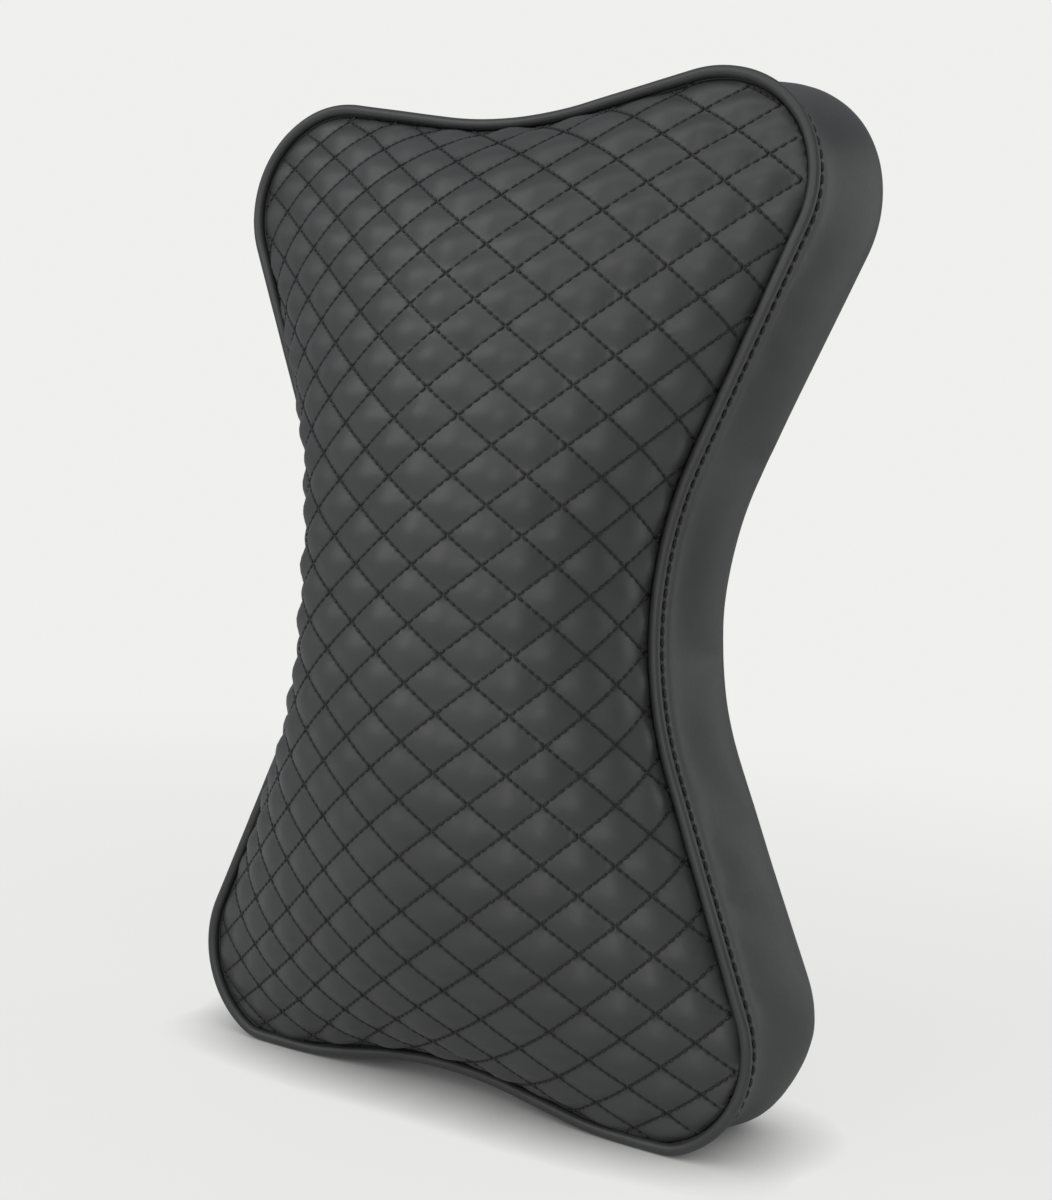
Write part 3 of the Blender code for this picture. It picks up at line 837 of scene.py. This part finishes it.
# Camera, at the photograph's angle. Offsets are from the pillow's middle, in metres.
view = {"azimuth": 0.5013, "elevation": 0.0354, "roll": 0.0705, "distance": 0.4153,
        "right": 0.0134, "up": 0.0028, "drop": 0.0021, "lens": 43.17}


def addCamera():
    azimuth, elevation = view["azimuth"], view["elevation"]
    level = math.cos(elevation)
    back = Vector((math.sin(azimuth) * level, -math.cos(azimuth) * level, math.sin(elevation)))
    right = Vector((math.cos(azimuth), math.sin(azimuth), 0))
    up = back.cross(right)
    middle = Vector((0, seamY, middleZ - view["drop"]))
    turnedRight = right * math.cos(view["roll"]) + up * math.sin(view["roll"])
    turnedUp = up * math.cos(view["roll"]) - right * math.sin(view["roll"])
    camera = bpy.data.objects.new("camera", bpy.data.cameras.new("camera"))
    turn = Matrix((turnedRight, turnedUp, back)).transposed().to_4x4()
    eye = middle + right * view["right"] + up * view["up"] + back * view["distance"]
    camera.matrix_world = Matrix.Translation(eye) @ turn
    camera.data.lens = view["lens"]
    camera.data.sensor_width = 36
    camera.data.clip_start = 0.01
    bpy.context.scene.collection.objects.link(camera)
    bpy.context.scene.camera = camera


def addSoftbox(name, place, aim, width, height, power):
    lamp = bpy.data.lights.new(name, "AREA")
    lamp.shape = "RECTANGLE"
    lamp.size, lamp.size_y = width, height
    lamp.energy = power
    softbox = bpy.data.objects.new(name, lamp)
    softbox.location = place
    softbox.rotation_euler = (Vector(aim) - Vector(place)).to_track_quat("-Z", "Y").to_euler()
    bpy.context.scene.collection.objects.link(softbox)


softboxes = {  # place, aim, width, height and watts
    "key": ((-0.75, -1.12, 0.95), (0, 0, 0.15), 1.1, 1.1, 9.2),
    "strip": ((0.60, -1.28, 0.25), (0, 0, 0.15), 0.30, 1.4, 6.5),
    "overhead": ((0.30, -0.55, 1.45), (0, 0, 0.2), 1.0, 0.8, 4),
    "behind": ((0.95, 0.85, 0.45), (0, 0, 0.15), 0.5, 1.0, 2.2),
}
studio = {
    "paper": (0.87, 0.87, 0.86), "floorRoughness": 0.7, "floorReach": 6, "fade": (0.15, 0.9), "lift": 0.80,
    "shadeReach": 0.022, "worldLight": 0.36, "worldColour": (0.95, 0.97, 1),
}


def addFloor():
    bm = bmesh.new()
    bmesh.ops.create_grid(bm, x_segments=2, y_segments=2, size=studio["floorReach"])
    mesh = bpy.data.meshes.new("floor")
    bm.to_mesh(mesh)
    bm.free()
    floor = bpy.data.objects.new("floor", mesh)
    material = bpy.data.materials.new("pale_floor")
    material.use_nodes = True
    nodes, links = material.node_tree.nodes, material.node_tree.links
    shader = nodes["Principled BSDF"]
    shader.inputs["Base Color"].default_value = (*studio["paper"], 1)
    shader.inputs["Roughness"].default_value = studio["floorRoughness"]
    # painted shadow: for camera rays the floor glows in the paper colour, darkened by ambient occlusion near
    # the pillow to stand in for its contact shadow
    plain = nodeLine(nodes, "ShaderNodeEmission", Strength=1)
    paper = (*studio["paper"], 1)
    # the ambient occlusion here paints the contact shadow under and around the pillow
    corner = nodeLine(nodes, "ShaderNodeAmbientOcclusion", Color=paper, Distance=studio["shadeReach"])
    links.new(corner.outputs["Color"], plain.inputs["Color"])
    away = nodes.new("ShaderNodeVectorMath")
    away.operation = "LENGTH"
    links.new(nodes.new("ShaderNodeTexCoord").outputs["Object"], away.inputs[0])
    fade = nodes.new("ShaderNodeMapRange")  # further off, the floor goes over into the plain backdrop
    fade.interpolation_type = "SMOOTHSTEP"
    fade.inputs["From Min"].default_value, fade.inputs["From Max"].default_value = studio["fade"]
    fade.inputs["To Min"].default_value = studio["lift"]
    links.new(away.outputs["Value"], fade.inputs["Value"])
    rays = nodes.new("ShaderNodeLightPath")
    seen = math2(nodes, links, "MULTIPLY", fade.outputs["Result"], rays.outputs["Is Camera Ray"])
    mix = nodes.new("ShaderNodeMixShader")
    links.new(seen, mix.inputs["Fac"])
    links.new(shader.outputs["BSDF"], mix.inputs[1])
    links.new(plain.outputs["Emission"], mix.inputs[2])
    links.new(mix.outputs["Shader"], nodes["Material Output"].inputs["Surface"])
    mesh.materials.append(material)
    bpy.context.scene.collection.objects.link(floor)


def setWorld():
    world = bpy.data.worlds.new("studio")
    world.use_nodes = True
    nodes, links = world.node_tree.nodes, world.node_tree.links
    light = nodes["Background"]
    light.inputs["Color"].default_value = (*studio["worldColour"], 1)
    light.inputs["Strength"].default_value = studio["worldLight"]
    seen = nodeLine(nodes, "ShaderNodeBackground", Color=(*studio["paper"], 1), Strength=1)
    mix = nodes.new("ShaderNodeMixShader")
    path = nodes.new("ShaderNodeLightPath")
    links.new(path.outputs["Is Camera Ray"], mix.inputs["Fac"])
    links.new(light.outputs["Background"], mix.inputs[1])
    links.new(seen.outputs["Background"], mix.inputs[2])
    links.new(mix.outputs["Shader"], nodes["World Output"].inputs["Surface"])
    bpy.context.scene.world = world


addCamera()
addFloor()
setWorld()
for name, values in softboxes.items():
    addSoftbox(name, *values)
bpy.context.scene.view_settings.view_transform = "Standard"
print("studio set")
